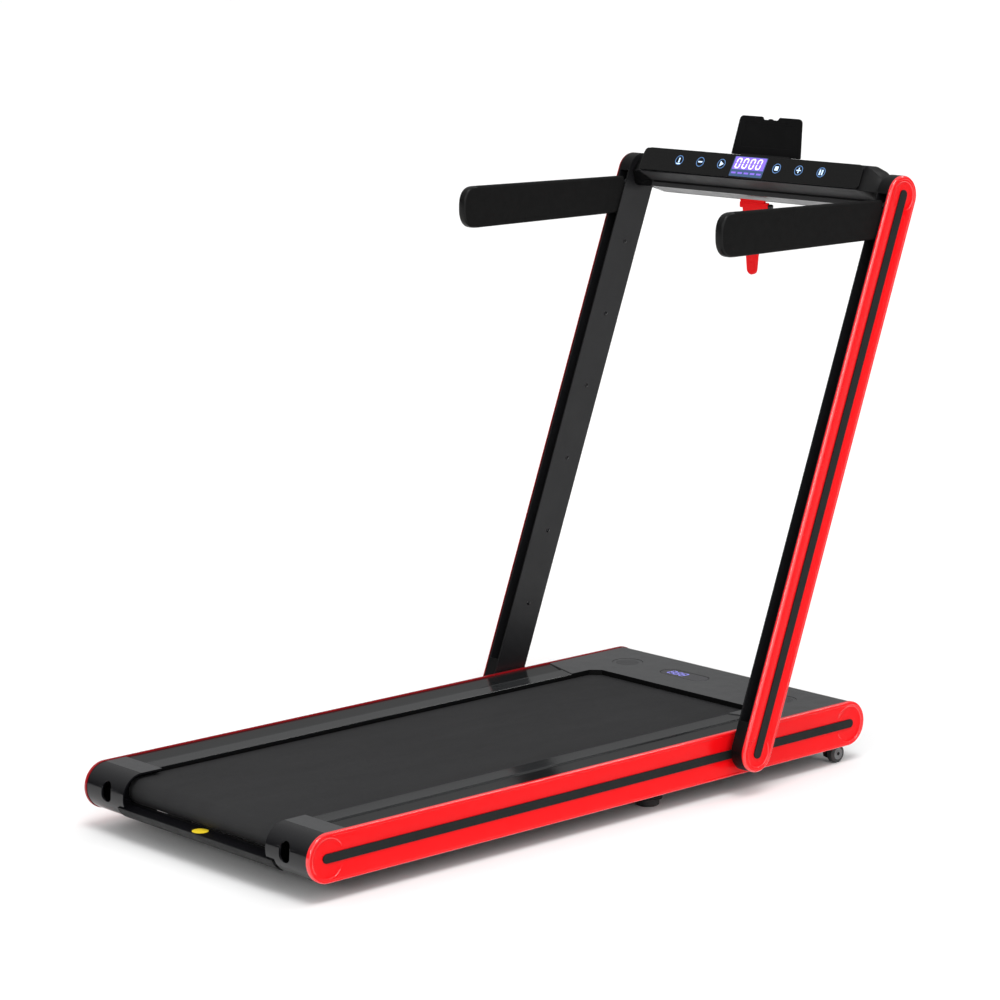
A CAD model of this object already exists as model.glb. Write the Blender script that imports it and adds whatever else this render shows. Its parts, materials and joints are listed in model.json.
"""Looks of the folding treadmill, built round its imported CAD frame.  Metres, +Z up, +Y to the motor."""
import math
from math import cos, pi, radians, sin

import bmesh
import bpy
from mathutils import Matrix, Vector
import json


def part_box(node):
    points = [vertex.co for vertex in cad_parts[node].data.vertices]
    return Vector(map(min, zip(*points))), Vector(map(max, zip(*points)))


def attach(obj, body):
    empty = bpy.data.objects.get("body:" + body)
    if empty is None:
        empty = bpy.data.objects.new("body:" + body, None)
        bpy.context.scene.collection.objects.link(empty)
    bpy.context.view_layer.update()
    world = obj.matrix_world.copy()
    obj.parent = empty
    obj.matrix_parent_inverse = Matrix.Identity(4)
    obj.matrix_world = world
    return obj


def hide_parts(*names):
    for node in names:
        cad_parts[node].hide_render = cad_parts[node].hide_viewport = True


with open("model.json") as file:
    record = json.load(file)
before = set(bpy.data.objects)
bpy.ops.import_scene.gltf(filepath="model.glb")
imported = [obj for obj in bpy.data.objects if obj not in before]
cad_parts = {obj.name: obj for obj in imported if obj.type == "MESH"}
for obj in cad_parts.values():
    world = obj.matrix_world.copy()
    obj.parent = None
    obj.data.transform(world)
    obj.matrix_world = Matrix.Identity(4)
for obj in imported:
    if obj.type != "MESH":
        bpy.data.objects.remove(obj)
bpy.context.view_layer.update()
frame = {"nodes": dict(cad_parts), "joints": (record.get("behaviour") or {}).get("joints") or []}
JOINTS = {joint["name"]: joint for joint in frame["joints"]}
NODES = frame["nodes"]
SIDES = (("left", -1), ("right", 1))


def joint_place(name):
    return Vector(JOINTS[name]["pos_m"])


PIVOT = joint_place("frame_fold")
HANDLE_PIVOT = joint_place("handle_fold_right") - PIVOT
LEAN_ANGLE = math.atan2(HANDLE_PIVOT.y, HANDLE_PIVOT.z)
STRIP_LOW, STRIP_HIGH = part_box("side_strip_right")
MIDDLE = (STRIP_LOW.y + STRIP_HIGH.y) / 2
WORLD = Matrix.Identity(4)
DECK = Matrix.Translation((0, MIDDLE, 0))
LEAN = Matrix.Translation(PIVOT) @ Matrix.Rotation(-LEAN_ANGLE, 4, "X")

# ---------------- dimensions, in the deck's or the uprights' frame
HALF_DECK = (STRIP_HIGH.y - STRIP_LOW.y) / 2
STRIP_RADIUS = (STRIP_HIGH.z - STRIP_LOW.z) / 2
STRIP_Z = (STRIP_HIGH.z + STRIP_LOW.z) / 2
STRIP_INNER_X = STRIP_LOW.x
STRIP_OUTER_X = STRIP_HIGH.x
END_ARC = HALF_DECK - STRIP_RADIUS
COVER_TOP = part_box("motor_cover")[1].z
COVER_RADIUS = COVER_TOP - STRIP_Z
COVER_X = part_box("motor_cover")[1].x
COVER_SKIN = 0.003
COVER_REAR_Y = 0.458
GAP = 0.0003
UPRIGHT_LENGTH = 1.01
UPRIGHT_RADIUS = 0.0366
UPRIGHT_INNER_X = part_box("upright_right")[0].x
UPRIGHT_OUTER_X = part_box("upright_right")[1].x
TRIM_OUTER_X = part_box("upright_strip_right")[1].x
HANDLE_UP = HANDLE_PIVOT.yz.length
PIVOT_DECK = (PIVOT.y - MIDDLE, PIVOT.z)


# ---------------- material tools
def fill(node, values):
    for socket, value in values.items():
        node.inputs[socket].default_value = value


class Look:
    """A Principled material whose colour, roughness and bump come from chained procedural textures."""

    def __init__(self, name, colour, roughness, metallic=0.0, coat=0.0, coat_roughness=0.05, specular=0.5):
        self.material = bpy.data.materials.new(name)
        self.material.use_nodes = True
        self.tree = self.material.node_tree
        self.shader = self.tree.nodes["Principled BSDF"]
        self.colour = (*colour, 1.0)
        fill(self.shader, {"Base Color": self.colour, "Roughness": roughness, "Metallic": metallic,
                           "Coat Weight": coat, "Coat Roughness": coat_roughness,
                           "Specular IOR Level": specular})
        self.coordinates = self.tree.nodes.new("ShaderNodeTexCoord").outputs["Object"]
        self.normal = None

    def node(self, kind, links=None, **values):
        made = self.tree.nodes.new(kind)
        for key, value in values.items():
            if hasattr(made, key):
                setattr(made, key, value)
            else:
                made.inputs[key.replace("_", " ")].default_value = value
        for key, source in (links or {}).items():
            self.tree.links.new(source, made.inputs[key])
        return made

    def mapped(self, **values):
        return self.node("ShaderNodeMapping", {"Vector": self.coordinates}, **values).outputs[0]

    def noise(self, scale, detail, stretch):
        place = self.mapped(Scale=stretch) if stretch else self.coordinates
        return self.node("ShaderNodeTexNoise", {"Vector": place}, Scale=scale, Detail=detail,
                         Roughness=0.55).outputs["Fac"]

    def mottle(self, scale, amount, stretch=None):
        """Slow changes of tone about the base colour."""
        mix = self.node("ShaderNodeMix", {"Factor": self.noise(scale, 4.0, stretch)}, data_type="RGBA")
        darker = [channel * (1 - amount) for channel in self.colour[:3]]
        lighter = [min(1.0, channel * (1 + amount)) for channel in self.colour[:3]]
        fill(mix, {"A": (*darker, 1.0), "B": (*lighter, 1.0)})
        self.tree.links.new(mix.outputs["Result"], self.shader.inputs["Base Color"])
        return self

    def smudge(self, scale, low, high, stretch=None):
        """Roughness that wanders between two values."""
        spread = self.node("ShaderNodeMapRange", {"Value": self.noise(scale, 5.0, stretch)}, From_Min=0.3,
                           From_Max=0.7, To_Min=low, To_Max=high)
        self.tree.links.new(spread.outputs[0], self.shader.inputs["Roughness"])
        return self

    def bump(self, height, distance, strength=1.0):
        links = {"Height": height}
        if self.normal is not None:
            links["Normal"] = self.normal
        made = self.node("ShaderNodeBump", links, Distance=distance, Strength=strength)
        self.normal = made.outputs["Normal"]
        self.tree.links.new(self.normal, self.shader.inputs["Normal"])
        return self

    def grain(self, scale, distance, stretch=None, detail=4.0):
        return self.bump(self.noise(scale, detail, stretch), distance)

    def cells(self, scale, distance, feature="F1"):
        cell = self.node("ShaderNodeTexVoronoi", {"Vector": self.coordinates}, feature=feature, Scale=scale)
        return self.bump(cell.outputs["Distance"], distance)

    def emit(self, colour, strength):
        fill(self.shader, {"Emission Color": (*colour, 1.0), "Emission Strength": strength})
        return self

    def ribs(self, scale, distance, turn=0.0, strength=1.0):
        """Fine parallel ribs."""
        made = self.node("ShaderNodeTexWave", {"Vector": self.mapped(Rotation=(0, 0, turn))}, Scale=scale,
                         bands_direction="X", wave_profile="SIN", Distortion=0.0)
        return self.bump(made.outputs["Fac"], distance, strength)


LOOKS = {}


def add(key, name, colour, roughness, mottle, smudge=None, grain=None, **shine):
    """Keeps a look under its key; mottle, smudge and grain hold what those steps are given."""
    look = Look(name, colour, roughness, **shine).mottle(*mottle)
    if smudge:
        look.smudge(*smudge)
    if grain:
        look.grain(*grain)
    LOOKS[key] = look.material
    return look


def make_looks():
    add("red", "red_gloss", (0.8, 0.0035, 0.006), 0.2, (9, 0.04), (35, 0.16, 0.25), (900, 0.000015),
        specular=0.12)
    add("red_edge", "red_edge", (0.9, 0.01, 0.014), 0.14, (9, 0.04), (35, 0.1, 0.18),
        coat=0.8, coat_roughness=0.06, specular=0.5)
    add("red_deep", "red_deep", (0.07, 0.001, 0.002), 0.22, (9, 0.1), (35, 0.18, 0.28), specular=0.3)
    add("red_middle", "red_middle", (0.3, 0.004, 0.008), 0.2, (9, 0.1), (35, 0.16, 0.26), specular=0.4)
    add("inlay", "charcoal_inlay", (0.011, 0.013, 0.013), 0.55, (40, 0.15), (60, 0.48, 0.62),
        (1800, 0.00006), specular=0.12)
    belt = add("belt", "belt_rubber", (0.026, 0.026, 0.027), 0.7, (14, 0.09, (1, 0.35, 1)),
               (22, 0.64, 0.76, (1, 0.3, 1)), specular=0.18)
    for turn in (pi / 4, -pi / 4):
        belt.ribs(420, 0.00022, turn, 0.8)
    belt.grain(2600, 0.00008)
    add("belt_under", "belt_underside", (0.06, 0.058, 0.054), 0.85, (60, 0.25)).ribs(800, 0.0001)
    add("rail", "rail_plastic", (0.02, 0.021, 0.022), 0.12, (12, 0.1), (28, 0.09, 0.17, (1, 0.2, 1)),
        (700, 0.00001), specular=0.42)
    add("rail_edge", "rail_border", (0.008, 0.0085, 0.009), 0.14, (12, 0.1), (28, 0.1, 0.2, (1, 0.2, 1)),
        (700, 0.00001), specular=0.2)
    add("cover", "cover_plastic", (0.05, 0.051, 0.053), 0.36, (10, 0.08),
        (30, 0.3, 0.42)).cells(1500, 0.00005).grain(260, 0.00004)
    add("gloss", "black_gloss", (0.004, 0.004, 0.005), 0.12, (20, 0.15), (26, 0.09, 0.22), (600, 0.000015),
        specular=0.35)
    add("black", "black_plastic", (0.0035, 0.0035, 0.0037), 0.36, (25, 0.15), (40, 0.32, 0.46),
        specular=0.12).cells(1700, 0.00005)
    add("paint", "powder_coat", (0.009, 0.009, 0.01), 0.34, (16, 0.12), (24, 0.28, 0.42),
        (420, 0.0001, None, 2.0), specular=0.3)
    add("foam", "foam", (0.006, 0.006, 0.006), 0.62, (60, 0.2), (80, 0.56, 0.7),
        specular=0.06).cells(900, 0.00025, "SMOOTH_F1").grain(2400, 0.00008)
    add("grip_end", "grip_end", (0.005, 0.005, 0.005), 0.3, (60, 0.2), (80, 0.25, 0.38), (900, 0.00006),
        specular=0.16)
    add("steel", "steel", (0.52, 0.53, 0.55), 0.28, (30, 0.08), (90, 0.2, 0.38, (0.05, 1, 1)),
        (900, 0.00003, (0.05, 1, 1)), metallic=1.0)
    add("zinc", "zinc", (0.42, 0.43, 0.44), 0.35, (200, 0.12), (160, 0.28, 0.46), (1500, 0.00003),
        metallic=1.0)
    add("screw", "black_screw", (0.025, 0.025, 0.027), 0.32, (220, 0.2), (300, 0.26, 0.42), (1500, 0.00003),
        metallic=0.8)
    add("brass", "brass", (0.6, 0.42, 0.18), 0.3, (300, 0.12), (300, 0.22, 0.4), metallic=1.0)
    add("wood", "board_wood", (0.26, 0.185, 0.115), 0.62, (220, 0.35, (1, 1, 3)), (90, 0.55, 0.72),
        (600, 0.00012))
    add("rubber", "rubber", (0.017, 0.017, 0.017), 0.72, (50, 0.2), (70, 0.64, 0.82), (1300, 0.0001))
    add("tyre", "tyre", (0.02, 0.02, 0.02), 0.6, (90, 0.25), (120, 0.5, 0.72), (1500, 0.0001))
    add("hub", "hub_grey", (0.17, 0.175, 0.18), 0.34, (120, 0.12), (100, 0.26, 0.42), (1300, 0.00005))
    add("panel", "panel_gloss", (0.004, 0.004, 0.004), 0.1, (14, 0.12), (18, 0.06, 0.16), (300, 0.000008),
        specular=0.2)
    add("band", "console_band", (0.04, 0.04, 0.041), 0.5, (18, 0.1), (30, 0.44, 0.56),
        specular=0.08).cells(1400, 0.00003)
    add("yellow", "yellow_disc", (0.85, 0.62, 0.02), 0.45, (150, 0.1), (90, 0.38, 0.55), (1200, 0.00003))
    add("lens", "display_lens", (0.01, 0.009, 0.016), 0.08, (60, 0.2), (40, 0.05, 0.12),
        coat=0.5, coat_roughness=0.02)
    add("glow", "display_glow", (0.1, 0.07, 0.3), 0.2, (120, 0.2),
        coat=0.4).emit((0.24, 0.13, 0.8), 0.9).grain(2500, 0.00002)
    add("digit", "digit_light", (0.5, 0.5, 0.8), 0.3, (400, 0.1)).emit((0.62, 0.6, 1.0), 1.6)
    add("blue", "window_light", (0.2, 0.2, 0.55), 0.3, (400, 0.1)).emit((0.26, 0.24, 0.9), 0.9)
    add("icon", "icon_light", (0.45, 0.6, 0.8), 0.3, (400, 0.1)).emit((0.48, 0.68, 1.0), 1.0)
    add("icon_ring", "icon_ring", (0.08, 0.16, 0.3), 0.3, (400, 0.1)).emit((0.1, 0.25, 0.6), 0.65)
    add("icon_dim", "icon_dim", (0.03, 0.06, 0.13), 0.3, (300, 0.15)).emit((0.05, 0.12, 0.3), 0.35)


make_looks()


# ---------------- shape tools
def on_axis(axis, along, first, second):
    if axis == "x":
        return Vector((along, first, second))
    if axis == "y":
        return Vector((first, along, second))
    return Vector((first, second, along))


def around(centre, radius, angle):
    return centre[0] + radius * cos(angle), centre[1] + radius * sin(angle)


def arc(centre, radius, start, end, steps):
    angles = [radians(start + (end - start) * step / steps) for step in range(steps + 1)]
    return [around(centre, radius, angle) for angle in angles]


def oblong(half_x, half_y, x=0.0, y=0.0):
    """A rectangle's corners round its middle."""
    return [(x - half_x, y - half_y), (x + half_x, y - half_y), (x + half_x, y + half_y),
            (x - half_x, y + half_y)]


def stadium(low, high, radius, steps=28, across=0.0, upright=False, parts=1):
    """A bar with round ends; its straight runs are cut into parts so that each ring has the same points."""
    if upright:
        first = arc((across, high), radius, 0, 180, steps)
        last = arc((across, low), radius, 180, 360, steps)
    else:
        first = arc((high, across), radius, -90, 90, steps)
        last = arc((low, across), radius, 90, 270, steps)

    def run(start, end):
        return [tuple(Vector(start).lerp(Vector(end), part / parts)) for part in range(1, parts)]

    return first + run(first[-1], last[0]) + last + run(last[-1], first[0])


def softened(corners, steps=5):
    """An outline whose corners (x, y, radius) are rounded."""
    outline = []
    count = len(corners)
    for index, (x, y, radius) in enumerate(corners):
        here = Vector((x, y))
        if not radius:
            outline.append((x, y))
            continue
        before = (Vector(corners[index - 1][:2]) - here).normalized()
        after = (Vector(corners[(index + 1) % count][:2]) - here).normalized()
        half = before.angle(after) / 2
        reach = radius / math.tan(half)
        centre = here + (before + after).normalized() * (radius / sin(half))
        start = here + before * reach - centre
        end = here + after * reach - centre
        turn = start.angle_signed(end)
        outline += [tuple(centre + rotated(start, -turn * step / steps)) for step in range(steps + 1)]
    return outline


def rotated(vector, angle):
    return Vector((vector.x * cos(angle) - vector.y * sin(angle),
                   vector.x * sin(angle) + vector.y * cos(angle)))


def loft(rings, close=True, caps=True):
    mesh = bmesh.new()
    rows = [[mesh.verts.new(point) for point in ring] for ring in rings]
    if caps:
        mesh.faces.new(rows[0])
        mesh.faces.new(rows[-1])
    pairs = list(zip(rows, rows[1:]))
    if not close:
        pairs.append((rows[-1], rows[0]))
    for one, two in pairs:
        for index in range(len(one)):
            after = (index + 1) % len(one)
            mesh.faces.new((one[index], one[after], two[after], two[index]))
    return mesh


def prism(outline, axis, low, high):
    return loft([[on_axis(axis, place, *point) for point in outline] for place in (low, high)])


def block(x_range, y_range, z_range):
    (x0, x1), (y0, y1), (z0, z1) = x_range, y_range, z_range
    return prism([(y0, z0), (y1, z0), (y1, z1), (y0, z1)], "x", x0, x1)


def turned(profile, axis, centre, segments=48, ring=False):
    angles = [2 * pi * step / segments for step in range(segments)]
    rows = [[on_axis(axis, place, *around(centre, radius, angle)) for angle in angles]
            for place, radius in profile]
    return loft(rows, close=not ring, caps=not ring)


def rod(axis, low, high, radius, centre, segments):
    """A plain round bar, for bosses, bores and holes."""
    return turned([(low, radius), (high, radius)], axis, centre, segments)


def merged(*meshes):
    """Several separate closed meshes in one."""
    total = bmesh.new()
    for mesh in meshes:
        data = bpy.data.meshes.new("part")
        mesh.to_mesh(data)
        mesh.free()
        total.from_mesh(data)
        bpy.data.meshes.remove(data)
    return total


def in_scene(made):
    bpy.context.scene.collection.objects.link(made)
    return made


def as_object(name, mesh, looks=()):
    bmesh.ops.recalc_face_normals(mesh, faces=mesh.faces)
    data = bpy.data.meshes.new(name)
    mesh.to_mesh(data)
    mesh.free()
    for look in looks:
        data.materials.append(LOOKS[look])
    return in_scene(bpy.data.objects.new(name, data))


def applied(made):
    """The object's mesh with its modifiers, taken back into a bmesh."""
    bpy.context.view_layer.update()
    shaped = made.evaluated_get(bpy.context.evaluated_depsgraph_get())
    data = bpy.data.meshes.new_from_object(shaped)
    mesh = bmesh.new()
    mesh.from_mesh(data)
    bpy.data.meshes.remove(data)
    bpy.data.objects.remove(made)
    return mesh


def combined(base, tools, operation):
    for tool_mesh in tools:
        first = as_object("base", base)
        tool = as_object("tool", tool_mesh)
        step = first.modifiers.new("combine", "BOOLEAN")
        step.operation = operation
        step.object = tool
        base = applied(first)
        bpy.data.objects.remove(tool)
    return base


def cut(base, *tools):
    return combined(base, tools, "DIFFERENCE")


def join(base, *tools):
    return combined(base, tools, "UNION")


def piece(name, mesh, look, body, stands_for=(), bevel=0.0, segments=3, angle=35, at=DECK, extra=()):
    """Makes one visible piece: its mesh in the given frame, its look, the body it rides on and its nodes."""
    made = as_object(name, mesh, (look, *extra))
    made.data.transform(at)
    if at.determinant() < 0:
        made.data.flip_normals()
    made.data.shade_smooth()
    made.data.set_sharp_from_angle(angle=radians(angle))
    if bevel:
        step = made.modifiers.new("soft_edges", "BEVEL")
        step.width = bevel
        step.segments = segments
        step.limit_method = "ANGLE"
        step.angle_limit = radians(angle)
        step.use_clamp_overlap = True
        step.harden_normals = True
    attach(made, body)
    if stands_for:
        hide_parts(*stands_for)
    return made


def repaint(made, slot, chosen):
    """Gives the chosen faces another of the piece's looks."""
    for face in made.data.polygons:
        if chosen(face):
            face.material_index = slot


def refined(name, look, body, bevel):
    """A CAD node's own shape with its flat faces merged and its edges softened, in place of the node."""
    mesh = bmesh.new()
    mesh.from_mesh(NODES[name].data)
    bmesh.ops.remove_doubles(mesh, verts=mesh.verts, dist=1e-6)
    bmesh.ops.dissolve_limit(mesh, angle_limit=radians(0.6), verts=mesh.verts, edges=mesh.edges)
    return piece(f"{name}_shape", mesh, look, body, (name,), bevel, angle=30, at=WORLD)


def mirrored(side):
    return Matrix.Diagonal((side, 1, 1, 1))


# ---------------- red trims
def trim_plate(low, high, radius, inlay_low, inlay_high, inlay_radius, x_inner, x_outer, parts, rim):
    """A plate with round ends: a rounded rim, a fine groove inside it, a field that falls slightly to the
    inlay's groove, and the groove with its own softened lip.  The section is swept round the whole plate."""
    width = radius - inlay_radius
    field = rim + 0.0038
    fall = 0.002
    lip = -0.0006 - fall
    section = [(0.0, x_inner - x_outer)] + arc((rim, -rim), rim, 180, 90, 7)
    section += [(rim + 0.0014, 0.0), (rim + 0.0018, -0.0003), (rim + 0.0024, -0.0007), (rim + 0.003, -0.0007),
                (field, -0.0006)]
    for step in range(1, 7):
        share = step / 6
        section.append((field + (width - field - 0.0016) * share, -0.0006 - fall * share * share))
    section += [(width - 0.0006, lip), (width, lip - 0.0002), (width, -0.003)]
    outer = stadium(low, high, radius, upright=True, parts=parts)
    inner = stadium(inlay_low, inlay_high, inlay_radius, upright=True, parts=parts)
    rings = []
    for offset, height in section:
        share = min(1.0, offset / width)
        rings.append([(x_outer + height, *Vector(a).lerp(Vector(b), share)) for a, b in zip(outer, inner)])
    return loft(rings)


def dish(centre, radius, depth, x_surface, flat=0.62):
    """A cutter for the shallow round dish at a trim's end."""
    profile = [(x_surface - depth, 0.0002), (x_surface - depth, radius * flat)]
    for step in range(1, 9):
        share = step / 8
        rise = depth * (1 - math.sqrt(max(0.0, 1 - share * share)) * 0.9 - 0.1 * (1 - share))
        profile.append((x_surface - depth + rise, radius * (flat + (1 - flat) * share)))
    profile += [(x_surface + 0.006, radius + 0.004), (x_surface + 0.006, 0.0002)]
    return turned(profile, "x", centre, 64)


def place_trim(kind, name, side, body, at, plate, bar, inner_look):
    """The rounded rims are polished, and the left trims' inner edges stay darker, being out of the light."""
    trim = piece(f"{kind}_trim_{name}", plate, "red", body, (f"{kind}_strip_{name}",), angle=28,
                 at=at, extra=("red_edge", inner_look))
    repaint(trim, 1, lambda face: face.normal.x * side < 0.95)
    if side < 0:
        repaint(trim, 2, lambda face: face.normal.x * side < 0.3)
    piece(f"{kind}_bar_{name}", bar, "inlay", body, (f"{kind}_inlay_{name}",), bevel=0.0005,
          at=at)


def make_side_trims():
    inlay = 0.008
    reach = HALF_DECK - 0.03 - inlay
    swap = Matrix(((1, 0, 0, 0), (0, 0, 1, 0), (0, 1, 0, 0), (0, 0, 0, 1)))
    face_x = STRIP_OUTER_X - 0.0004
    for name, side in SIDES:
        plate = trim_plate(-END_ARC, END_ARC, STRIP_RADIUS, -reach, reach, inlay, STRIP_INNER_X,
                           STRIP_OUTER_X, 40, 0.0034)
        plate.transform(Matrix.Translation((0, 0, STRIP_Z)) @ swap)
        tools = [rod("x", 0.2, 0.4, 0.0182, PIVOT_DECK, 56)]
        for place in (END_ARC, -END_ARC):
            tools.insert(0, dish((place, STRIP_Z), 0.0336, 0.0019, STRIP_OUTER_X - 0.001))
        bar = prism(stadium(-reach, reach, inlay - 0.0004, 20, STRIP_Z), "x", STRIP_OUTER_X - 0.0029, face_x)
        boss = rod("x", STRIP_INNER_X, face_x, 0.0178, PIVOT_DECK, 56)
        bore = rod("x", 0.2, 0.4, 0.0135, PIVOT_DECK, 48)
        place_trim("side", name, side, "deck", DECK @ mirrored(side), cut(plate, *tools),
                   cut(join(bar, boss), bore), "red_middle")


def make_upright_trims():
    tip = 0.0028
    for name, side in SIDES:
        plate = trim_plate(0, UPRIGHT_LENGTH, UPRIGHT_RADIUS, -tip, UPRIGHT_LENGTH + tip, 0.0093,
                           UPRIGHT_OUTER_X + GAP, TRIM_OUTER_X, 32, 0.005)
        tools = [dish((0, place), 0.027, 0.0018, TRIM_OUTER_X - 0.001) for place in (0, UPRIGHT_LENGTH)]
        bar = prism(stadium(-tip, UPRIGHT_LENGTH + tip, 0.0088, 20, upright=True), "x", TRIM_OUTER_X - 0.0029,
                    TRIM_OUTER_X - 0.0004)
        place_trim("upright", name, side, "folding_frame", LEAN @ mirrored(side), cut(plate, *tools), bar,
                   "red_deep")


# ---------------- belt and rails
BELT_HALF = 0.203
BELT_THICKNESS = 0.0018
ROLLER_Z = joint_place("rear_roller_spin").z
REAR_ROLLER = joint_place("rear_roller_spin").y - MIDDLE
FRONT_ROLLER = joint_place("front_roller_spin").y - MIDDLE
BELT_INNER = 0.0212


def make_belt():
    """The endless belt: a loop with rounded edges, textured outside and woven inside."""
    outer = BELT_INNER + BELT_THICKNESS
    edge = 0.0006
    half = [(BELT_HALF - edge, outer), (BELT_HALF - edge * 0.3, outer - edge * 0.3),
            (BELT_HALF, outer - edge), (BELT_HALF, BELT_INNER)]
    section = [(-x, radius) for x, radius in reversed(half)] + half
    rings = [[(x, y, z) for y, z in stadium(REAR_ROLLER, FRONT_ROLLER, radius, across=ROLLER_Z, parts=90)]
             for x, radius in section]
    mesh = loft(rings, close=False, caps=False)
    made = piece("running_belt", mesh, "belt", "deck", ("walking_belt",),
                 extra=("belt_under",))

    def woven(face):
        above = face.center.z - ROLLER_Z
        on_run = REAR_ROLLER < face.center.y - MIDDLE < FRONT_ROLLER
        return on_run and abs(above) < BELT_INNER + 0.0003 and face.normal.z * math.copysign(1, above) < -0.9

    repaint(made, 1, woven)


LIP_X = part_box("rail_right")[0].x
LIP_BOTTOM = 0.104
RAIL_TOP = 0.1116
ARM_REAR = 0.396
ARM_SLANT = 0.027


def arm_end(x):
    """Where the slanted end of the motor cover's arm lies, at one distance from the deck's middle."""
    return ARM_REAR + ARM_SLANT * (x - LIP_X) / (COVER_X - LIP_X)


def make_rails():
    low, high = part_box("rail_right")
    over_belt = BELT_HALF + 0.0015
    step_x = 0.238
    section = [
        (LIP_X, LIP_BOTTOM, 0.0004), (over_belt, LIP_BOTTOM, 0), (over_belt, low.z, 0), (COVER_X, low.z, 0),
        (COVER_X, high.z, 0.0008), (step_x + 0.003, RAIL_TOP - 0.0016, 0.0005),
        (step_x + 0.0008, RAIL_TOP - 0.0016, 0.0003), (step_x + 0.0002, RAIL_TOP + 0.0002, 0.0002),
        (step_x - 0.0008, RAIL_TOP + 0.0005, 0.0003), (step_x - 0.002, RAIL_TOP, 0.0004),
        (LIP_X, RAIL_TOP, 0.0016),
    ]
    inner, outer = LIP_X - 0.02, COVER_X + 0.02
    ahead = [(inner, arm_end(inner) - GAP), (outer, arm_end(outer) - GAP), (outer, 0.5), (inner, 0.5)]
    for name, side in SIDES:
        rail = prism(softened(section), "y", low.y - MIDDLE, high.y - MIDDLE + 0.01)
        made = piece(f"foot_rail_{name}", cut(rail, prism(ahead, "z", 0.05, 0.15)), "rail", "deck",
                     (f"rail_{name}",), at=DECK @ mirrored(side), angle=25,
                     extra=("rail_edge", "black"))
        repaint(made, 1, lambda face: abs(face.center.x) > step_x + 0.0006)
        repaint(made, 2, lambda face: abs(face.center.x) < LIP_X + 0.0002)


# ---------------- end caps, rear cover, motor cover
CAP_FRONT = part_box("end_cap_right")[1].y - MIDDLE
CAP_INNER = 0.2045
HOOD_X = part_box("end_cap_right")[0].x
BEAM_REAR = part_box("side_beam_right")[0].y - MIDDLE
BOLT_X = 0.235
SHELF_TOP = 0.058


def make_end_caps():
    """Rounded shells, each with a wall beside the belt, a hood over the belt's edge and an oval slot."""
    centre = (-END_ARC, STRIP_Z)
    inner = COVER_RADIUS - COVER_SKIN
    inner_top = COVER_TOP - COVER_SKIN
    low = STRIP_Z + COVER_RADIUS * sin(radians(250))
    outline = arc(centre, COVER_RADIUS, 90, 250, 48) + [(CAP_FRONT, low), (CAP_FRONT, COVER_TOP)]
    hollow = arc(centre, inner, 90, 250, 40)
    hollow += [(BEAM_REAR - 0.002, 0.03), (CAP_FRONT + 0.01, 0.03), (CAP_FRONT + 0.01, inner_top)]
    hood_end = 180 + math.degrees(math.asin((STRIP_Z - SHELF_TOP - GAP) / COVER_RADIUS))
    hood = [(CAP_FRONT, COVER_TOP)] + arc(centre, COVER_RADIUS, 90, hood_end, 40)
    hood += arc(centre, inner, hood_end, 90, 40) + [(CAP_FRONT, inner_top)]
    slot = stadium(0.0715, 0.0835, 0.0115, 20, BOLT_X, upright=True)
    rim = stadium(0.0715, 0.0835, 0.013, 20, BOLT_X, upright=True)

    def polished(face):
        """The rolled faces and the walls; the flat tops stay satin."""
        return face.center.y - MIDDLE < -END_ARC + 0.004 or abs(face.normal.x) > 0.9

    for name, side in SIDES:
        outer = prism(outline, "x", CAP_INNER, COVER_X)
        inside = prism(hollow, "x", CAP_INNER + 0.0023, COVER_X - 0.0015)
        shaft = block((0.2, 0.212), (REAR_ROLLER - 0.008, REAR_ROLLER + 0.008), (0.02, ROLLER_Z + 0.0083))
        step = prism(rim, "y", -0.7, -HALF_DECK + 0.003)
        shell = cut(outer, inside, shaft, prism(slot, "y", -0.68, -0.63), step)
        shaped = join(shell, prism(hood, "x", HOOD_X, CAP_INNER + 0.0012))
        cap = piece(f"rear_cap_{name}", shaped, "cover", "deck", (f"end_cap_{name}",),
                    bevel=0.0009, at=DECK @ mirrored(side), extra=("gloss",))
        repaint(cap, 1, polished)


def make_rear_cover():
    skin = 0.0025
    centre = (-END_ARC - 0.003, STRIP_Z)
    section = [(-0.6215, SHELF_TOP - skin), (-0.6215, 0.0608), (-0.623, 0.0608), (-0.623, SHELF_TOP)]
    section += arc(centre, COVER_RADIUS, 202.5, 250, 20)
    section += arc(centre, COVER_RADIUS - skin, 250, 208.5, 20)
    half = CAP_INNER - GAP
    skirt = piece("rear_skirt", prism(section, "x", -half, half), "gloss", "deck",
                  ("rear_cover",), bevel=0.0009, segments=4, angle=40, extra=("black",))
    repaint(skirt, 1, lambda face: abs(face.normal.z) < 0.95)
    label = [(SHELF_TOP, 0.0138), (SHELF_TOP + 0.00025, 0.0138), (SHELF_TOP + 0.00035, 0.0134)]
    piece("yellow_disc", turned(label, "z", (0.0, -0.637), 56), "yellow", "deck", angle=50)


def cover_outline():
    """The motor cover's plan from its rear lip to the arms' slanted ends, for one side."""
    chamfer = 0.017
    return [(COVER_X, COVER_REAR_Y + 0.0015), (LIP_X - chamfer, COVER_REAR_Y + 0.0015),
            (LIP_X - chamfer, COVER_REAR_Y), (LIP_X, COVER_REAR_Y - chamfer), (LIP_X, arm_end(LIP_X)),
            (COVER_X, arm_end(COVER_X))]


SPEAKER = (0.196, 0.539)
SPEAKER_RADIUS = 0.029
WINDOW = (-0.05, 0.543)
WINDOW_HALF = 0.056
WINDOW_RADIUS = 0.021
INLET = (-0.19, 0.0725)
ROCKER_X = -0.147


def window_outline(radius):
    reach = WINDOW_HALF - WINDOW_RADIUS
    return stadium(WINDOW[0] - reach, WINDOW[0] + reach, radius, 24, WINDOW[1])


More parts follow.
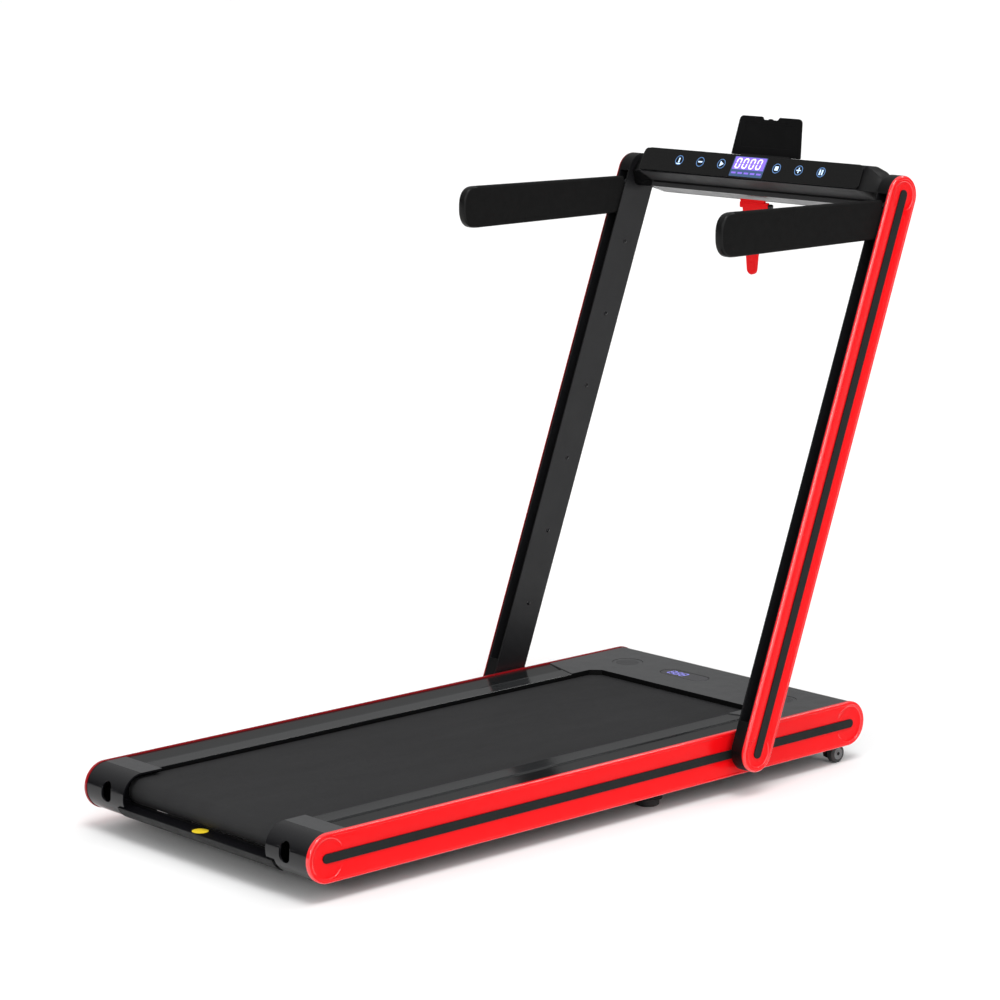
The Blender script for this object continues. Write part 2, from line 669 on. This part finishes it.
def make_motor_cover():
    centre = (END_ARC, STRIP_Z)
    inner_top = COVER_TOP - COVER_SKIN
    outside = [(COVER_REAR_Y, LIP_BOTTOM), (COVER_REAR_Y, COVER_TOP)]
    inside = [(COVER_REAR_Y + COVER_SKIN, inner_top), (COVER_REAR_Y + COVER_SKIN, LIP_BOTTOM)]
    nose = arc(centre, COVER_RADIUS, 90, -55, 48)
    nose_inside = arc(centre, COVER_RADIUS - COVER_SKIN, -55, 90, 48)
    skin = prism(outside + nose + nose_inside + inside, "x", -COVER_X, COVER_X)
    low, high = COVER_TOP - 0.02, COVER_TOP + 0.02
    arms = []
    tools = []
    for _name, side in SIDES:
        arms.append(prism([(side * x, y) for x, y in cover_outline()], "z", LIP_BOTTOM, COVER_TOP))
        tools.append(rod("z", low, high, SPEAKER_RADIUS + GAP, (side * SPEAKER[0], SPEAKER[1]), 72))
    tools.append(prism(window_outline(WINDOW_RADIUS + GAP), "z", low, high))
    tools.append(block((INLET[0] - 0.0255, ROCKER_X + 0.0175), (0.62, 0.67),
                       (INLET[1] - 0.0205, INLET[1] + 0.0205)))
    cover = piece("front_cover", cut(join(skin, *arms), *tools), "cover", "deck",
                  ("motor_cover",), bevel=0.0011, angle=32, extra=("black",))

    def faces_belt(face):
        near = abs(face.center.x) < LIP_X + 0.001 and face.center.y - MIDDLE < COVER_REAR_Y + 0.002
        return near and abs(face.normal.z) < 0.4

    repaint(cover, 1, faces_belt)


def make_speakers():
    """A grille with real perforations in rings, its rim and the dark cone behind it."""
    for name, side in SIDES:
        centre = (side * SPEAKER[0], SPEAKER[1])
        top = COVER_TOP - 0.0006
        holes = []
        for ring in range(10):
            radius = 0.0024 * ring
            count = max(1, round(2 * pi * radius / 0.0026))
            for step in range(count):
                place = around(centre, radius, 2 * pi * step / count + ring * 0.37)
                holes.append(rod("z", top - 0.01, top + 0.01, 0.00078, place, 8))
        rim = [(top - 0.0012, SPEAKER_RADIUS), (top - 0.0005, SPEAKER_RADIUS), (top, SPEAKER_RADIUS - 0.0007),
               (top, SPEAKER_RADIUS - 0.003), (top - 0.0004, SPEAKER_RADIUS - 0.0035)]
        grille = cut(turned(rim, "z", centre, 72), merged(*holes))
        piece(f"grille_{name}", grille, "cover", "deck", (f"speaker_{name}",), angle=30)
        cone = [(top - 0.015, 0.016), (top - 0.015, 0.0158), (top - 0.011, 0.024), (top - 0.003, 0.0275),
                (top - 0.0018, 0.0275), (top - 0.005, 0.02), (top - 0.0085, 0.01), (top - 0.007, 0.004)]
        piece(f"speaker_cone_{name}", turned(cone, "z", centre, 48), "rubber", "deck")


SEGMENTS = {"0": "abcdef", "8": "abcdefg"}
# Each bar's two ends, in widths and half heights of a digit.
BARS = {
    "a": ((0, 2), (1, 2)), "b": ((1, 1), (1, 2)), "c": ((1, 0), (1, 1)), "d": ((0, 0), (1, 0)),
    "e": ((0, 0), (0, 1)), "f": ((0, 1), (0, 2)), "g": ((0, 1), (1, 1)),
}


def seven_segment(text, place, thickness, pitch, height=0.0185, depth=0.00008, slant=0.12):
    """Digits made of bars, flat in X and Y with their tops towards +Y; place is (left, bottom, surface)."""
    meshes = []
    for index, letter in enumerate(text):
        offset = index * height * pitch
        for bar in SEGMENTS[letter]:
            start, end = (Vector(point) * height / 2 for point in BARS[bar])
            along = (end - start).normalized()
            across = Vector((-along.y, along.x)) * thickness / 2
            start += along * thickness * 0.62
            end -= along * thickness * 0.62
            tip = along * thickness / 2
            outline = [start - tip, start + across, end + across, end + tip, end - across, start - across]
            shaped = [(place[0] + offset + p.x + p.y * slant, place[1] + p.y) for p in outline]
            meshes.append(prism(shaped, "z", place[2], place[2] + depth))
    return merged(*meshes)


def make_deck_display():
    glass = COVER_TOP - 0.0003
    lens = prism(window_outline(WINDOW_RADIUS), "z", COVER_TOP - 0.0045, glass)
    piece("window_lens", lens, "lens", "deck", ("deck_display",), bevel=0.0008)
    rim = loft([[(x, y, z) for x, y in window_outline(radius)] for radius, z in (
        (WINDOW_RADIUS - 0.0006, glass), (WINDOW_RADIUS - 0.001, glass + 0.00022),
        (WINDOW_RADIUS - 0.0018, glass + 0.00022), (WINDOW_RADIUS - 0.0022, glass))], close=False, caps=False)
    piece("window_rim", rim, "band", "deck")
    digits = seven_segment("888", (-0.088, 0.5345, glass), 0.0017, 0.8)
    piece("window_digits", digits, "blue", "deck", angle=60)


# ---------------- uprights
SCREW_FIRST = 0.1625
SCREW_PITCH = 0.1423


def button_screw(radius, height, recess=0.45):
    """A domed screw head on the plane x = 0, towards +X, with a hexagonal socket."""
    dome = [(-0.0003, radius), (0.0002, radius)]
    for step in range(1, 6):
        angle = radians(15 * step)
        dome.append((0.0002 + (height - 0.0002) * sin(angle), max(radius * recess, radius * cos(angle))))
    socket = rod("x", height * 0.25, height * 2, radius * recess * 0.8, (0, 0), 6)
    return cut(turned(dome, "x", (0, 0), 28), socket)


def copies(mesh, places):
    """One mesh repeated at several places."""
    meshes = []
    for place in places:
        other = mesh.copy()
        other.transform(place)
        meshes.append(other)
    mesh.free()
    return merged(*meshes)


def make_uprights():
    wall = 0.0022
    front = UPRIGHT_RADIUS - 0.002
    open_rear = -UPRIGHT_RADIUS - 0.02
    slot = [(open_rear, 0.045), (front, 0.045), *arc((0, HANDLE_UP), front, 0, 90, 24),
            (open_rear, HANDLE_UP + front)]
    for name, side in SIDES:
        body = prism(stadium(0, UPRIGHT_LENGTH, UPRIGHT_RADIUS, 40, upright=True), "x", UPRIGHT_INNER_X,
                     UPRIGHT_OUTER_X)
        channel = prism(slot, "x", UPRIGHT_INNER_X + wall, UPRIGHT_OUTER_X - wall)
        hole = rod("x", UPRIGHT_INNER_X + GAP, UPRIGHT_OUTER_X - GAP, 0.0045, (0, HANDLE_UP), 28)
        made = piece(f"upright_channel_{name}", cut(body, channel, hole), "paint", "folding_frame",
                     (f"upright_{name}",), bevel=0.001, at=LEAN @ mirrored(side), angle=40,
                     extra=("black",))
        repaint(made, 1, lambda face: abs(face.normal.x) < 0.5)
        turn = Matrix.Rotation(pi, 4, "Z")
        heights = [SCREW_FIRST + index * SCREW_PITCH for index in range(6)]
        spots = [Matrix.Translation((UPRIGHT_INNER_X, 0.002, height)) @ turn for height in heights]
        screws = copies(button_screw(0.0041, 0.0016), spots)
        piece(f"upright_screws_{name}", screws, "gloss", "folding_frame",
              at=LEAN @ mirrored(side))


def make_hubs():
    for name, side in SIDES:
        wall = UPRIGHT_INNER_X - GAP
        profile = [(0.264, 0.011), (0.265, 0.012), (0.2978, 0.012), (0.2978, 0.0185), (0.2985, 0.02),
                   (wall - 0.001, 0.02), (wall, 0.019)]
        piece(f"hub_{name}", turned(profile, "x", (0, 0), 64), "paint", "folding_frame",
              (f"pivot_hub_{name}",), at=LEAN @ mirrored(side))


# ---------------- console
CONSOLE_HALF = 0.27
CONSOLE_END_X = UPRIGHT_INNER_X - 0.0005
PANEL_LOW = Vector((-0.049, -0.005))
PANEL_HIGH = Vector((-0.042, 0.0405))
PANEL_UP = (PANEL_HIGH - PANEL_LOW).normalized()
PANEL_OUT = Vector((-PANEL_UP.y, PANEL_UP.x))
PANEL_THICKNESS = 0.003


def panel_frame():
    """A frame on the console's panel: X across, Y up the panel, Z out of it, from the panel's middle."""
    middle = (PANEL_LOW + PANEL_HIGH) / 2
    place = Matrix.Translation((0, middle.x, UPRIGHT_LENGTH + middle.y))
    axes = Matrix(((1, 0, 0, 0), (0, PANEL_UP.x, PANEL_OUT.x, 0), (0, PANEL_UP.y, PANEL_OUT.y, 0),
                   (0, 0, 0, 1)))
    return LEAN @ place @ axes


PANEL = panel_frame()


def console_section():
    """The shell's section, rounded, as (forward, up) from the uprights' top centres."""
    low = PANEL_LOW - PANEL_OUT * PANEL_THICKNESS
    high = PANEL_HIGH - PANEL_OUT * PANEL_THICKNESS
    return softened([
        (low.x, low.y, 0.0004), (high.x, high.y, 0.003), (-0.012, 0.047, 0.02), (0.016, 0.046, 0.016),
        (0.036, 0.032, 0.012), (0.046, 0.0, 0.012), (0.038, -0.025, 0.004), (-0.005, -0.025, 0.0012),
        (-0.006, -0.014, 0.0012), (-0.0485, -0.0075, 0.0012),
    ], 6)


def console_ring(x, blend, radius=0.027):
    """The section drawn in towards a circle as blend goes from 0 to 1."""
    ring = []
    for here in map(Vector, console_section()):
        mixed = here.lerp(here.normalized() * radius, blend)
        ring.append((x, mixed.x, UPRIGHT_LENGTH + mixed.y))
    return ring


def along_console(section, inset):
    """A bar of a section measured from the uprights' top centres, inset at both of the console's ends."""
    return prism([(y, UPRIGHT_LENGTH + z) for y, z in section], "x", inset - CONSOLE_HALF,
                 CONSOLE_HALF - inset)


def make_console():
    taper = CONSOLE_END_X - CONSOLE_HALF
    shares = (1.0, 0.85, 0.7, 0.55, 0.4, 0.28, 0.16, 0.07, 0.0)
    ease = [(share, share * share * (3 - 2 * share)) for share in shares]
    rings = [console_ring(-CONSOLE_HALF - taper * share, blend) for share, blend in ease]
    rings += [console_ring(CONSOLE_HALF + taper * share, blend) for share, blend in reversed(ease)]
    inner = [(0.0, -0.04), (0.034, -0.04), (0.034, -0.018), (0.04, 0.0), (0.031, 0.027), (0.013, 0.04),
             (-0.01, 0.04), (-0.034, 0.035), (-0.04, -0.002), (-0.004, -0.009), (0.0, -0.018)]
    to_frame = LEAN.inverted()
    hinge = to_frame @ joint_place("phone_holder_tilt")
    trough = rod("x", -0.061, 0.061, 0.0046, (hinge.y, hinge.z), 32)
    housing = piece("console_housing", cut(loft(rings), along_console(inner, 0.006), trough), "gloss",
                    "folding_frame", ("console_shell",), at=LEAN, bevel=0.0006, angle=38,
                    extra=("band", "black"))

    def under_lip(face):
        spot = to_frame @ face.center
        return abs(spot.x) < CONSOLE_HALF and spot.y < 0.001 and spot.z - UPRIGHT_LENGTH < -0.0085

    repaint(housing, 1, under_lip)
    repaint(housing, 2, lambda face: abs(face.center.x) > CONSOLE_HALF)
    plate = [(0.0003, -0.0248), (0.0337, -0.0248), (0.0337, -0.0223), (0.0003, -0.0223)]
    piece("console_underside", along_console(plate, 0.0063), "cover", "folding_frame",
          ("console_base",), at=LEAN, bevel=0.0008)


def make_console_panel():
    half = (PANEL_HIGH - PANEL_LOW).length / 2
    low = CONSOLE_HALF + 0.003
    high = CONSOLE_HALF - 0.002
    corners = [(-high, half, 0.012), (high, half, 0.012), (low, -half, 0.006), (-low, -half, 0.006)]
    outline = softened(corners, 10)
    glass = prism(outline, "z", -PANEL_THICKNESS + GAP, 0.0)
    piece("console_glass", glass, "panel", "folding_frame", ("console_panel",), at=PANEL,
          bevel=0.0008)
    seam = [(-0.0072, -0.0141), (-0.005, -0.0141), (-0.0048, -0.0172), (-0.0069, -0.0172)]
    piece("console_seam", along_console(seam, 0.004), "black", "folding_frame", at=LEAN,
          bevel=0.0003)


def flat_shape(points, x, y, depth):
    return prism([(x + px, y + py) for px, py in points], "z", 0.0, depth)


GLYPHS = {
    -0.176: [oblong(0.0012, 0.0036), oblong(0.0042, 0.0008, 0.0, -0.0054)],
    -0.1222: [oblong(0.004, 0.001, 0.0, 0.0002)],
    -0.0686: [[(-0.0026, -0.0042), (0.0044, 0.0), (-0.0026, 0.0042)]],
    0.0686: [oblong(0.0032, 0.0032)],
    0.1222: [oblong(0.004, 0.0008), oblong(0.0008, 0.0015, 0.0, 0.0027),
             oblong(0.0008, 0.0015, 0.0, -0.0027)],
    0.176: [oblong(0.0012, 0.004, -0.0022), oblong(0.0012, 0.004, 0.0022)],
}
GLYPH_SCALE = 1.3
GLYPH_Y = 0.0015


def on_panel(name, mesh, look, angle=35):
    piece(name, mesh, look, "folding_frame", at=PANEL, angle=angle)


def make_touch_icons():
    depth = 0.00008
    icons = []
    rings = []
    for x, shapes in GLYPHS.items():
        hoop = [(0.0, 0.0096), (depth, 0.0096), (depth, 0.0084), (0.0, 0.0084)]
        rings.append(turned(hoop, "z", (x, GLYPH_Y), 40, ring=True))
        for points in shapes:
            larger = [(px * GLYPH_SCALE, py * GLYPH_SCALE) for px, py in points]
            icons.append(flat_shape(larger, x, GLYPH_Y, depth))
    on_panel("touch_icons", merged(*icons), "icon", 60)
    on_panel("touch_rings", merged(*rings), "icon_ring", 60)
    half_width = 0.0405
    window = softened([(x, y, 0.002) for x, y in reversed(oblong(half_width, 0.02, 0.0, -0.0005))], 4)
    on_panel("display_window", prism(window, "z", 0.0, 0.00005), "icon_dim")
    on_panel("display_light", flat_shape(oblong(half_width - 0.002, 0.0125), 0, 0.006, 0.00009), "glow")
    on_panel("display_digits", seven_segment("0000", (-0.033, -0.0035, 0.00009), 0.0026, 0.92), "digit", 60)
    dash = oblong(0.0055, 0.0017)
    dashes = [flat_shape(dash, -0.031 + 0.0155 * index, -0.0135, 0.00012) for index in range(5)]
    on_panel("display_dashes", merged(*dashes), "glow")


# ---------------- holder, key, handles
def make_phone_holder():
    """A tapered plate with rounded corners, a shallow notch, a raised lip and a hinge barrel."""
    hinge = joint_place("phone_holder_tilt")
    tilt = Matrix.Translation(hinge) @ Matrix.Rotation(radians(9) - LEAN_ANGLE, 4, "X")
    top = 0.074
    right = [(0.085, 0.0015, 0.002), (0.0755, top, 0.009), (0.022, top, 0.0015),
             (0.0175, top - 0.0055, 0.003), (0.006, top - 0.0055, 0.001), (0.003, top - 0.0035, 0.001)]
    left = [(-x, z, radius) for x, z, radius in right]
    plate = prism(softened(left[1:] + right[::-1] + left[:1], 6), "y", -0.0018, 0.0018)
    barrel = turned([(-0.06, 0.0034), (-0.0594, 0.004), (0.0594, 0.004), (0.06, 0.0034)], "x", (0, 0), 28)
    web = block((-0.058, 0.058), (-0.0018, 0.0018), (0, 0.01))
    recess = prism(softened([(-0.066, 0.017, 0.003), (-0.06, 0.062, 0.003), (0.06, 0.062, 0.003),
                             (0.066, 0.017, 0.003)], 5), "y", -0.003, -0.0012)
    body = cut(join(plate, web, barrel), recess)
    piece("holder_plate", body, "black", "phone_holder", ("phone_holder",), bevel=0.0006,
          at=tilt, angle=35)


def make_safety_key():
    """A tapered tab under a wedge-shaped magnet head, with ribs, a brow and an eye for the cord."""
    low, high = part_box("safety_key")
    centre_x = (low.x + high.x) / 2
    end = 0.0115
    half = (high.x - low.x) / 2
    edge = [(half, 0), (0.024, -0.018), (0.0165, -0.08)] + arc((0, low.z - high.z + end), end, -10, -90, 12)
    outline = edge + [(-x, z) for x, z in reversed(edge[:-1])]
    solids = [prism(outline, "y", -0.003, 0.003),
              prism([(0.0, 0.0), (0.0095, -0.0036), (0.003, -0.03), (0.0, -0.03)], "x", -0.022, 0.022)]
    above = [(-0.01, 0.0026), (0.012, -0.0056), (0.012, 0.01), (-0.01, 0.01)]
    mesh = merged(*[cut(solid, prism(above, "x", -0.05, 0.05)) for solid in solids])
    piece("key_tab", mesh, "red", "safety_key", ("safety_key",), bevel=0.0008, segments=4,
          at=Matrix.Translation((centre_x, low.y + 0.003, high.z)), angle=30)
    ribs = []
    for index in range(3):
        z = low.z + end + 0.012 + index * 0.009
        ribs.append(block((centre_x - 0.006, centre_x + 0.006), (low.y - 0.0005, low.y + 0.001),
                          (z - 0.0012, z + 0.0012)))
    piece("key_ribs", merged(*ribs), "red", "safety_key", bevel=0.0005, at=WORLD)
    brow = prism([(low.y - 0.0004, high.z - 0.0165), (low.y + 0.006, high.z - 0.0165),
                  (low.y + 0.006, high.z - 0.004), (low.y - 0.0004, high.z - 0.0056)],
                 "x", low.x - 0.0005, high.x + 0.0075)
    piece("key_brow", brow, "red", "safety_key", bevel=0.0016, segments=4, at=WORLD)
    loop = turned([(high.x + 0.007, 0.0039), (high.x + 0.0074, 0.0045), (high.x + 0.0136, 0.0045),
                   (high.x + 0.014, 0.0039)], "x", (low.y + 0.0052, high.z - 0.011), 28)
    piece("key_cord_eye", loop, "gloss", "safety_key", at=WORLD)


HANDLE_ROOT_HALF = 0.0343
HANDLE_RADIUS = 0.038
HANDLE_TIP = HANDLE_RADIUS - 0.44
HANDLE_END = 0.032


def make_handles():
    """A steel core in a foam sleeve with a softly rounded section and a blunt moulded end."""
    half = 0.0095
    soft = 0.0056
    for name, _side in SIDES:
        place = joint_place(f"handle_fold_{name}")
        at = Matrix.Translation(place)
        rings = []
        for step in range(13):
            angle = radians(-90 + 180 * step / 12)
            inset = soft * (1 - cos(angle))
            x = (half - soft) * (1 if step > 6 else -1) + soft * sin(angle)
            if step == 6:
                rings.append(handle_outline(inset, -(half - soft)))
            rings.append(handle_outline(inset, x))
        sleeve = loft(rings)
        pocket = block((-0.0063, 0.0063), (-0.3805, 0.01), (-0.0233, 0.0233))
        made = piece(f"grip_{name}", cut(sleeve, pocket), "foam", f"handle_{name}",
                     (f"handle_grip_{name}",), at=at, angle=50, extra=("grip_end",))
        end = place.y + HANDLE_TIP - HANDLE_RADIUS + HANDLE_END
        repaint(made, 1, lambda face: face.center.y < end and abs(face.normal.x) < 0.9)
        core = refined(f"handle_core_{name}", "steel", f"handle_{name}", 0.0006)
        core.name = f"handle_bar_{name}"


def handle_outline(inset, x):
    root = HANDLE_ROOT_HALF - inset
    points = [(-0.032, -root), (-0.032, root)]
    start = HANDLE_TIP - HANDLE_RADIUS + HANDLE_END
    for step in range(37):
        turn = radians(90 + 180 * step / 36)
        along = abs(cos(turn)) ** 0.78 * (HANDLE_END - inset)
        across = math.copysign(abs(sin(turn)) ** 0.78, sin(turn)) * (HANDLE_RADIUS - inset)
        points.append((start - along, across))
    return [(x, y, z) for y, z in points]


# ---------------- feet, wheels, inlet, bolts, under the deck
def make_wheels():
    for name, side in SIDES:
        joint = joint_place(f"transport_wheel_spin_{name}")
        centre = (joint.y, joint.z)
        radius = joint.z
        inner = joint.x - side * 0.0075
        outer = joint.x + side * 0.007
        half = [(0.0, 0.0108), (0.0, radius - 0.0035), (0.0008, radius - 0.0014), (0.0026, radius)]
        tyre = [(inner + side * x, r) for x, r in half] + [(outer - side * x, r) for x, r in reversed(half)]
        piece(f"tyre_{name}", turned(tyre, "x", centre, 64, ring=True), "tyre", f"transport_wheel_{name}",
              (f"transport_wheel_{name}",), at=WORLD)
        rim = outer - side * 0.0016
        hub = [(inner, 0.0036), (inner, 0.0105), (outer, 0.0105), (outer, 0.0092), (rim, 0.0084),
               (rim, 0.0058), (outer, 0.005), (outer, 0.0036)]
        piece(f"wheel_hub_{name}", turned(hub, "x", centre, 56, ring=True), "hub", f"transport_wheel_{name}",
              at=WORLD)
        refined(f"wheel_bracket_{name}", "black", "deck", 0.0006)


def make_feet():
    for row in ("middle", "rear"):
        for name, _side in SIDES:
            low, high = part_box(f"foot_{row}_{name}")
            centre = ((low.x + high.x) / 2, (low.y + high.y) / 2)
            profile = [(0, 0.012), (0, 0.0178), (0.0006, 0.019), (0.002, 0.0202), (0.006, 0.0208),
                       (0.02, 0.0215), (0.025, 0.0215), (0.0262, 0.021), (0.0268, 0.019), (high.z, 0.0185)]
            foot = turned(profile, "z", centre, 56)
            grooves = []
            for index in range(3):
                z = 0.0101 + 0.0035 * index
                grooves.append(turned([(z - 0.0006, 0.026), (z - 0.0006, 0.0203), (z + 0.0006, 0.0203),
                                       (z + 0.0006, 0.026)], "z", centre, 56, ring=True))
            piece(f"rubber_foot_{row}_{name}", cut(foot, *grooves), "rubber", "deck",
                  (f"foot_{row}_{name}",), at=WORLD, bevel=0.0003)


def make_power_inlet():
    refined("power_inlet", "black", "deck", 0.0005)
    refined("power_switch", "gloss", "power_switch", 0.0006)
    pins = []
    back = 0.64
    for dx, dz in ((-0.0065, -0.002), (0.0065, -0.002), (0.0, 0.0025)):
        pins.append(block((INLET[0] + dx - 0.0009, INLET[0] + dx + 0.0009), (back - 0.015, back - 0.002),
                          (INLET[1] + dz - 0.0019, INLET[1] + dz + 0.0019)))
    piece("inlet_pins", merged(*pins), "brass", "deck", bevel=0.0003)
    place = Matrix.Translation((0, back + 0.0025, 0)) @ Matrix.Rotation(pi / 2, 4, "Z")
    spots = [Matrix.Translation((x, 0, INLET[1])) @ place for x in (INLET[0] - 0.02, INLET[0] + 0.02)]
    piece("inlet_screws", copies(button_screw(0.0026, 0.0014), spots), "screw", "deck")


def make_bolts():
    for name, _side in SIDES:
        joint = joint_place(f"tension_bolt_turn_{name}")
        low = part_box(f"tension_bolt_{name}")[0].y
        profile = [(low, 0.005), (low, 0.006), (low + 0.0008, 0.0068), (low + 0.007, 0.0068),
                   (low + 0.007, 0.0038), (low + 0.04, 0.0038)]
        socket = rod("y", low - 0.01, low + 0.0042, 0.0034, (joint.x, joint.z), 6)
        shaped = cut(turned(profile, "y", (joint.x, joint.z), 36), socket)
        piece(f"adjuster_{name}", shaped, "zinc", f"tension_bolt_{name}", (f"tension_bolt_{name}",),
              at=WORLD, bevel=0.0003)


def make_under_deck():
    bevels = {"side_beam_left": 0.0008, "side_beam_right": 0.0008, "front_cross_member": 0.0016,
              "rear_cross_member": 0.0016, "pivot_bracket_left": 0.0008, "pivot_bracket_right": 0.0008,
              "motor": 0.0012}
    for name, bevel in bevels.items():
        refined(name, "paint", "deck", bevel)
    refined("motor_controller", "black", "deck", 0.0012)
    refined("belly_pan", "black", "deck", 0.0006)
    refined("deck_board", "wood", "deck", 0.0012)
    drive_parts = {"front_roller_shaft": "steel", "rear_roller_shaft": "steel", "front_roller": "steel",
                   "rear_roller": "steel", "roller_pulley": "black", "motor_pulley": "zinc",
                   "drive_belt": "rubber"}
    for name, look in drive_parts.items():
        for slot in NODES[name].material_slots:
            slot.material = LOOKS[look]


# ---------------- stage
# The sky's brightness runs from the horizon to overhead: from height, to height, from strength, to strength.
SKY = (0.0, 0.9, 0.04, 0.8)
BACKDROP = 1.02
SUNS = (
    ("top_light", (1.0, -0.5, 3.0), 26, 1.35),
    ("front_light", (2.7, -1.0, 1.1), 60, 1.2),
    ("key_light", (0.75, -2.64, 1.35), 14, 0.6),
    ("rim_light", (0.57, 2.01, 2.16), 12, 0.3),
)


def make_floor():
    floor = as_object("floor", prism(oblong(30, 30), "z", -0.05, 0.0))
    material = bpy.data.materials.new("floor_white")
    material.use_nodes = True
    fill(material.node_tree.nodes["Principled BSDF"],
         {"Base Color": (0.93, 0.93, 0.93, 1), "Roughness": 0.6, "Specular IOR Level": 0.2})
    floor.data.materials.append(material)


def make_sky():
    """White light that grows with height, and a plain white backdrop where the camera sees the sky."""
    world = bpy.data.worlds.new("studio")
    world.use_nodes = True
    tree = world.node_tree
    sky = tree.nodes["Background"]
    place = tree.nodes.new("ShaderNodeTexCoord").outputs["Generated"]
    height = tree.nodes.new("ShaderNodeSeparateXYZ")
    tree.links.new(place, height.inputs[0])
    fade = tree.nodes.new("ShaderNodeMapRange")
    fill(fade, dict(zip(("From Min", "From Max", "To Min", "To Max"), SKY)))
    tree.links.new(height.outputs["Z"], fade.inputs["Value"])
    tree.links.new(fade.outputs[0], sky.inputs["Strength"])
    fill(sky, {"Color": (1, 1, 1, 1)})
    backdrop = tree.nodes.new("ShaderNodeBackground")
    fill(backdrop, {"Color": (1, 1, 1, 1), "Strength": BACKDROP})
    mix = tree.nodes.new("ShaderNodeMixShader")
    seen = tree.nodes.new("ShaderNodeLightPath").outputs["Is Camera Ray"]
    for index, source in enumerate((seen, sky.outputs[0], backdrop.outputs[0])):
        tree.links.new(source, mix.inputs[index])
    tree.links.new(mix.outputs[0], tree.nodes["World Output"].inputs["Surface"])
    bpy.context.scene.world = world


def make_suns():
    for name, place, angle, strength in SUNS:
        data = bpy.data.lights.new(name, "SUN")
        data.angle = radians(angle)
        data.energy = strength
        lamp = in_scene(bpy.data.objects.new(name, data))
        lamp.location = place
        lamp.rotation_euler = (-Vector(place)).to_track_quat("-Z", "Y").to_euler()


def make_camera():
    data = bpy.data.cameras.new("camera")
    data.lens = 117.8
    data.sensor_width = 36.0
    camera = in_scene(bpy.data.objects.new("camera", data))
    forward = Vector((-0.7203, 0.6681, -0.1866))
    camera.location = DECK @ Vector((4.08, -3.759, 1.5765))
    turn = forward.to_track_quat("-Z", "Y").to_matrix().to_4x4() @ Matrix.Rotation(0.0011, 4, "Z")
    camera.rotation_euler = turn.to_euler()
    bpy.context.scene.camera = camera
    bpy.context.scene.view_settings.view_transform = "Standard"


make_camera()
make_floor()
make_sky()
make_suns()
make_belt()
make_rails()
make_end_caps()
make_rear_cover()
make_motor_cover()
make_speakers()
make_deck_display()
make_side_trims()
make_upright_trims()
make_uprights()
make_hubs()
make_console()
make_console_panel()
make_touch_icons()
make_phone_holder()
make_safety_key()
make_handles()
make_wheels()
make_feet()
make_power_inlet()
make_bolts()
make_under_deck()
